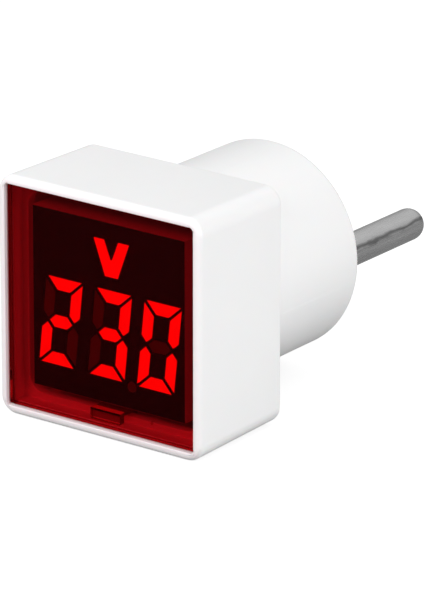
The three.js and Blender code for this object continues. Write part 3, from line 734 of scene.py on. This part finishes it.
def plug_body():
    """The round body with its square flange, rear wall, pin bosses and the display board posts."""
    flange = CAVITY_HALF - GAP
    body = turned("housing_body", [
        (END_RADIUS, 0, 0),
        (BODY_REAR_RADIUS, 0, BODY_RIM),
        (BODY_FRONT_RADIUS, BACK_OF_HEAD - OVERLAP, 0),
        (END_RADIUS, BACK_OF_HEAD - OVERLAP, 0),
    ], arc_steps=32)
    plate_path = rounded_path([
        (END_RADIUS, FLANGE_FRONT, 0),
        (flange, FLANGE_FRONT, OPENING_ROUNDING),
        (flange, BACK_OF_HEAD, OPENING_ROUNDING),
        (END_RADIUS, BACK_OF_HEAD, 0),
    ], False)
    plate = loft("flange", plate_path, lambda half, y: CAVITY_CORNER, arc_steps=8)
    combine(body, [plate], "UNION")
    bore = turned("bore", [
        (END_RADIUS, FLANGE_FRONT - PASS, 0),
        (BORE_RADIUS, FLANGE_FRONT - PASS, 0),
        (BORE_RADIUS, -REAR_WALL, BORE_ROUNDING),
        (END_RADIUS, -REAR_WALL, 0),
    ], arc_steps=24)
    combine(body, [bore], "DIFFERENCE")
    pins = [(PIN_X, 0), (-PIN_X, 0)]
    extras = rods("pin_boss", PIN_BOSS_RADIUS, PIN_BOSS_FRONT, OVERLAP - REAR_WALL, pins)
    reach = (BORE_RADIUS + flange) / 2
    post_front = DISPLAY_BOARD_BACK + GAP
    post_back = FLANGE_FRONT + OVERLAP
    post_middle = (post_front + post_back) / 2
    for i, (x, z) in enumerate(((1, 0), (-1, 0), (0, 1), (0, -1))):
        size_x = POST_THICKNESS if x else POST_WIDTH
        size_z = POST_THICKNESS if z else POST_WIDTH
        centre = (x * reach, post_middle, z * reach)
        extras.append(block(f"post_{i}", centre, (size_x, post_back - post_front, size_z)))
    combine(body, extras, "UNION")
    spots = corner_spots()
    cuts = rods("pin_hole", PIN_RADIUS + TIGHT, PIN_BOSS_FRONT - PASS, PASS, pins)
    cuts += rods("collar_seat", PIN_COLLAR_RADIUS + TIGHT, PIN_BOSS_FRONT - PASS, -REAR_WALL, pins)
    seat_front = BACK_OF_HEAD - SCREW_SEAT_DEPTH
    cuts += rods("screw_seat", SCREW_SEAT_RADIUS, seat_front, BACK_OF_HEAD + PASS, spots)
    cuts += rods("screw_hole", SCREW_HOLE_RADIUS, FLANGE_FRONT - PASS, BACK_OF_HEAD, spots)
    combine(body, cuts, "DIFFERENCE")
    smooth(body)
    return body


def lug_part(name, inner, outer, from_y, to_y, width):
    """One block of the lower lug, from inner to outer below the Y axis."""
    centre = (0, (from_y + to_y) / 2, -(inner + outer) / 2)
    return block(name, centre, (width, to_y - from_y, outer - inner), LUG_ROUNDING)


def lens_window():
    """The clear red slab and its snap lug: a pad in front of the ledge and a hooked leg through it."""
    inside = LENS_HALF - END_INSET
    seat = LENS_HALF - SEAT_WIDTH
    path = rounded_path([
        (inside, LENS_FRONT, 0),
        (LENS_HALF, LENS_FRONT, LENS_ROUNDING),
        (LENS_HALF, LENS_BACK, LENS_ROUNDING),
        (inside, LENS_BACK, 0),
    ], False)
    lens = loft("window_lens", path, lambda half, y: OPENING_CORNER, arc_steps=4)
    pad_front = LENS_BACK - OVERLAP
    pad_back = LENS_BACK + LUG_PAD_DEPTH
    leg_outer = LEDGE_HALF - GAP
    leg_inner = leg_outer - LUG_THICKNESS
    hook_front = LEDGE_BACK + 2 * TIGHT
    leg_width = LUG_WIDTH - 2 * TIGHT
    hook_width = LUG_WIDTH - 4 * TIGHT
    hook_back = LUG_BACK - TIGHT
    combine(lens, [
        lug_part("pad", leg_inner, seat - GAP, pad_front, pad_back, LUG_WIDTH),
        lug_part("leg", leg_inner, leg_outer, pad_front, LUG_BACK, leg_width),
        lug_part("hook", leg_inner, leg_outer + LUG_HOOK, hook_front, hook_back, hook_width),
    ], "UNION")
    smooth(lens)
    return lens


def mains_pin(name, x):
    """A pin with a domed tip, a collar that sits behind the rear wall, and a thin tail."""
    collar_front = -REAR_WALL - PIN_COLLAR_DEPTH
    collar_back = -REAR_WALL - PIN_COLLAR_GAP
    pin = turned(name, [
        (PIN_TAIL_RADIUS / 2, PIN_TAIL, 0),
        (PIN_TAIL_RADIUS, PIN_TAIL, PIN_TAIL_ROUNDING),
        (PIN_TAIL_RADIUS, collar_front, 0),
        (PIN_COLLAR_RADIUS, collar_front, PIN_COLLAR_ROUNDING),
        (PIN_COLLAR_RADIUS, collar_back, PIN_COLLAR_ROUNDING),
        (PIN_RADIUS, collar_back, 0),
        (PIN_RADIUS, PIN_TIP, PIN_RADIUS - PIN_TIP_FLAT),
        (PIN_TIP_FLAT / 2, PIN_TIP, 0),
    ], offset=(x, 0))
    smooth(pin)
    return pin


# ---------------------------------------------------------------- display


def display_marks():
    """Every mark of the display as (outline, is_lit)."""
    right = DIGIT_WIDTH / 2
    top = DIGIT_HEIGHT / 2
    half = STROKE / 2
    cut = MITRE_GAP
    upper = [
        (right - cut, top),
        (-right + cut, top),
        (-right + STROKE + cut, top - STROKE),
        (right - STROKE - cut, top - STROKE),
    ]
    side = [
        (right, top - cut),
        (right - STROKE, top - STROKE - cut),
        (right - STROKE, half + cut),
        (right - half, cut),
        (right, half + cut),
    ]
    reach = right - half - cut
    across = [
        (reach, 0),
        (reach - half, half),
        (-reach + half, half),
        (-reach, 0),
        (-reach + half, -half),
        (reach - half, -half),
    ]

    def flip(outline, sx, sz):
        moved = [(x * sx, z * sz) for x, z in outline]
        return moved[::-1] if sx * sz < 0 else moved

    bars = {
        "a": upper,
        "d": flip(upper, 1, -1),
        "g": across,
        "b": side,
        "f": flip(side, -1, 1),
        "c": flip(side, 1, -1),
        "e": flip(side, -1, -1),
    }
    marks = []
    for i, digit in enumerate(READING):
        x0 = DIGIT_CENTRE[0] + (i - (len(READING) - 1) / 2) * DIGIT_PITCH
        for bar, outline in bars.items():
            placed = [(x0 + x + z * SLANT, DIGIT_CENTRE[1] + z) for x, z in outline]
            marks.append((placed, bar in LIT_BARS[digit]))
    unit_right = UNIT_SIZE[0] / 2
    unit_top = UNIT_SIZE[1] / 2
    letter = [
        (unit_right, unit_top),
        (unit_right - UNIT_ARM, unit_top),
        (0, -unit_top + UNIT_SIZE[1] * UNIT_CROTCH),
        (-unit_right + UNIT_ARM, unit_top),
        (-unit_right, unit_top),
        (-UNIT_FOOT / 2, -unit_top),
        (UNIT_FOOT / 2, -unit_top),
    ]
    marks.append(([(UNIT_CENTRE[0] + x, UNIT_CENTRE[1] + z) for x, z in letter], True))
    point = []
    for k in range(POINT_SIDES):
        angle = 2 * math.pi * k / POINT_SIDES
        x = POINT_CENTRE[0] + POINT_RADIUS * math.cos(angle)
        z = POINT_CENTRE[1] + POINT_RADIUS * math.sin(angle)
        point.append((x, z))
    marks.append((point, False))
    return marks


def display_segments():
    """Lit bars, unlit bars, and the thin layer that joins them behind the face."""
    front = DISPLAY_FRONT + 2 * TIGHT
    layer_front = FILL_BACK - FILL_BACKING
    marks = display_marks()
    pieces = []
    for name, wanted in (("segments_lit", True), ("segments_unlit", False)):
        outlines = [outline for outline, lit in marks if lit == wanted]
        pieces.append(prisms(name, outlines, front, layer_front))
    half = DISPLAY_HALF - GAP
    layer_middle = (layer_front + FILL_BACK) / 2
    size = (2 * half, FILL_BACKING, 2 * half)
    pieces.append(block("segment_backing", (0, layer_middle, 0), size))
    return pieces


# ---------------------------------------------------------------- pieces

WHITE = white_abs()
finish_piece(head_shell(), WHITE, "white_abs", "head_shell")
finish_piece(plug_body(), WHITE, "white_abs", "plug_body")
finish_piece(lens_window(), red_window(), "red_acrylic", "lens_window")
finish_piece(mains_pin("mains_pin_right", PIN_X), drawn_nickel(PIN_X), "nickel_brass", "pin_right")
finish_piece(mains_pin("mains_pin_left", -PIN_X), drawn_nickel(-PIN_X), "nickel_brass", "pin_left")
lit, unlit, backing = display_segments()
finish_piece(lit, lit_resin(), "segment_resin", "display_fill")
UNLIT = unlit_resin()
finish_piece(unlit, UNLIT, "segment_resin")
finish_piece(backing, UNLIT, "segment_resin")

# ---------------------------------------------------------------- looks of the CAD pieces that are kept


def keep(node, material, bevel=0.0):
    """Gives a CAD node its material, and softens its edges where bevel is given."""
    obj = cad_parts[node]
    obj.data.materials.clear()
    obj.data.materials.append(material)
    if bevel:
        modifier = obj.modifiers.new("soft_edges", "BEVEL")
        modifier.width = bevel * MM
        modifier.segments = KEPT_BEVEL_STEPS
        modifier.limit_method = "ANGLE"
        modifier.angle_limit = math.radians(KEPT_BEVEL_ANGLE)
        modifier.harden_normals = True


def leaded(name, dark, light, node, axis, reach):
    """A coated part whose surface is metal lead beyond reach from its middle."""
    shader = moulded(name, dark, light, COATED_ROUGHNESS)
    return with_metal_leads(shader, beyond(shader, axis, middle(node, axis), reach))


keep("display_reflector", black_face())
board = circuit_board()
for name in ("display_substrate", "display_board", "power_board"):
    keep(name, board)
header = moulded("header_plastic", (0.012, 0.012, 0.013), (0.02, 0.02, 0.022)).material
for name in ("display_header_upper", "display_header_lower"):
    keep(name, header)
steel = zinc_steel()
for i in range(SCREW_COUNT):
    keep(f"shell_screw_{i + 1}", steel)
nylon = moulded("grey_nylon", (0.2, 0.21, 0.22), (0.27, 0.28, 0.29)).material
for side in ("right", "left"):
    keep(f"pin_retainer_{side}", nylon)
CHIP = ((0.01, 0.01, 0.011), (0.018, 0.018, 0.02))
CERAMIC = ((0.012, 0.012, 0.014), (0.03, 0.03, 0.032))
keep("driver_chip", leaded("chip_resin", *CHIP, "driver_chip", Z, CHIP_BODY_REACH))
for i in range(TRANSISTOR_COUNT):
    name = f"digit_transistor_{i + 1}"
    keep(name, leaded(f"chip_resin_{i + 1}", *CHIP, name, Z, TRANSISTOR_BODY_REACH))
for i in range(SEGMENT_RESISTOR_COUNT):
    name = f"segment_resistor_{i + 1}"
    keep(name, leaded(f"chip_ceramic_{i + 1}", *CERAMIC, name, Z, RESISTOR_CHIP_REACH))
keep("bridge_rectifier", leaded("bridge_resin", *CHIP, "bridge_rectifier", Z, CHIP_BODY_REACH))


def standing(name, dark, light):
    """A coated part that stands on the power board, with metal leads from the board back."""
    shader = moulded(name, dark, light)
    past = shader.math("GREATER_THAN", shader.axis(Y), BOARD_FRONT - STANDING_GAP)
    return with_metal_leads(shader, past)


keep("dropper_capacitor", standing("capacitor_yellow", (0.5, 0.25, 0.01), (0.62, 0.33, 0.02)),
     CAPACITOR_ROUNDING)
keep("smoothing_capacitor", standing("capacitor_sleeve", (0.01, 0.018, 0.06), (0.018, 0.03, 0.09)))
keep("varistor", standing("varistor_coating", (0.01, 0.07, 0.3), (0.02, 0.11, 0.42)))
AXIAL = {
    "fuse_resistor": ((0.2, 0.3, 0.18), (0.3, 0.42, 0.26), FUSE_REACH, "resistor_enamel"),
    "bleed_resistor": ((0.5, 0.34, 0.18), (0.62, 0.44, 0.26), BLEED_REACH, "resistor_enamel"),
    "zener_diode": ((0.012, 0.012, 0.014), (0.02, 0.02, 0.022), ZENER_REACH, "chip_resin"),
}
for name, (dark, light, reach, slot) in AXIAL.items():
    keep(name, leaded(f"{name}_coat", dark, light, name, X, reach))
WIRES = {"red": (0.45, 0.01, 0.01), "black": (0.012, 0.012, 0.012), "white": (0.6, 0.6, 0.6)}
for name, colour in WIRES.items():
    light = tuple(c * WIRE_LIGHTER for c in colour)
    sleeve = moulded(f"wire_{name}", colour, light, WIRE_ROUGHNESS)
    keep(f"link_wire_{name}", sleeve.material)

# ---------------------------------------------------------------- floor, lights and camera


def stage_floor():
    """Pale paper, lifted towards white for the camera and clear when it is seen from below."""
    bm = bmesh.new()
    bmesh.ops.create_grid(bm, x_segments=1, y_segments=1, size=FLOOR_SIZE / 2)
    bmesh.ops.translate(bm, vec=(0, 0, FLOOR_Z), verts=bm.verts)
    floor = new_object("floor", bm)
    shader = Shader("studio_paper")
    cloud = shader.noise(0.01, detail=2)
    shader.set(Base_Color=shader.mix(cloud, rgb(0.34, 0.34, 0.34), rgb(0.36, 0.36, 0.36)))
    shader.set(Roughness=0.9, Specular_IOR_Level=0.0)
    seen = shader.add("ShaderNodeLightPath").outputs["Is Camera Ray"]
    shader.set(Emission_Color=rgb(1, 1, 1), Emission_Strength=shader.math("MULTIPLY", seen, FLOOR_LIFT))
    under = shader.add("ShaderNodeNewGeometry").outputs["Backfacing"]
    clear = shader.add("ShaderNodeBsdfTransparent")
    mix = shader.add("ShaderNodeMixShader")
    shader.feed(mix, "0", under)
    shader.links.new(shader.surface.outputs[0], mix.inputs[1])
    shader.links.new(clear.outputs[0], mix.inputs[2])
    shader.links.new(mix.outputs[0], shader.output.inputs["Surface"])
    floor.data.materials.append(shader.material)


def area_light(name, place, size, energy):
    data = bpy.data.lights.new(name, "AREA")
    data.shape = "SQUARE"
    data.size = size * MM
    data.energy = energy
    lamp = bpy.data.objects.new(name, data)
    lamp.location = Vector(place) * MM
    aim = Vector(LIGHT_TARGET) - Vector(place)
    lamp.rotation_euler = aim.to_track_quat("-Z", "Y").to_euler()
    bpy.context.scene.collection.objects.link(lamp)


def studio():
    """A white world that is dimmer at the horizon for the object and plain white for the camera."""
    world = bpy.data.worlds.new("studio")
    world.use_nodes = True
    background = world.node_tree.nodes["Background"]
    nodes, links = world.node_tree.nodes, world.node_tree.links
    split = nodes.new("ShaderNodeSeparateXYZ")
    links.new(nodes.new("ShaderNodeTexCoord").outputs["Generated"], split.inputs[0])
    rise = nodes.new("ShaderNodeMapRange")
    links.new(split.outputs[2], rise.inputs["Value"])
    rise.inputs["From Max"].default_value = WORLD_RISE
    rise.inputs["To Min"].default_value = WORLD_HORIZON
    rise.inputs["To Max"].default_value = WORLD_ZENITH
    seen = nodes.new("ShaderNodeMix")
    links.new(nodes.new("ShaderNodeLightPath").outputs["Is Camera Ray"], seen.inputs["Factor"])
    links.new(rise.outputs[0], seen.inputs["A"])
    seen.inputs["B"].default_value = 1.0
    links.new(seen.outputs["Result"], background.inputs["Strength"])
    background.inputs["Color"].default_value = rgb(1, 1, 1)
    bpy.context.scene.world = world
    stage_floor()
    area_light("key", KEY_PLACE, KEY_SIZE, KEY_ENERGY)
    area_light("front", FRONT_PLACE, FRONT_SIZE, FRONT_ENERGY)
    scene = bpy.context.scene
    scene.view_settings.view_transform = "Standard"
    scene.view_settings.look = "None"
    scene.view_settings.exposure = 0
    scene.view_settings.gamma = 1


def camera():
    azimuth, elevation = math.radians(CAMERA_AZIMUTH), math.radians(CAMERA_ELEVATION)
    back = Vector((
        math.sin(azimuth) * math.cos(elevation),
        -math.cos(azimuth) * math.cos(elevation),
        math.sin(elevation),
    ))
    data = bpy.data.cameras.new("camera")
    data.lens = CAMERA_LENS
    data.sensor_width = SENSOR_WIDTH
    data.clip_end = FLOOR_SIZE * MM
    cam = bpy.data.objects.new("camera", data)
    cam.location = (Vector(CAMERA_TARGET) + back * CAMERA_DISTANCE) * MM
    cam.rotation_euler = back.to_track_quat("Z", "Y").to_euler()
    bpy.context.scene.collection.objects.link(cam)
    bpy.context.scene.camera = cam


studio()
camera()
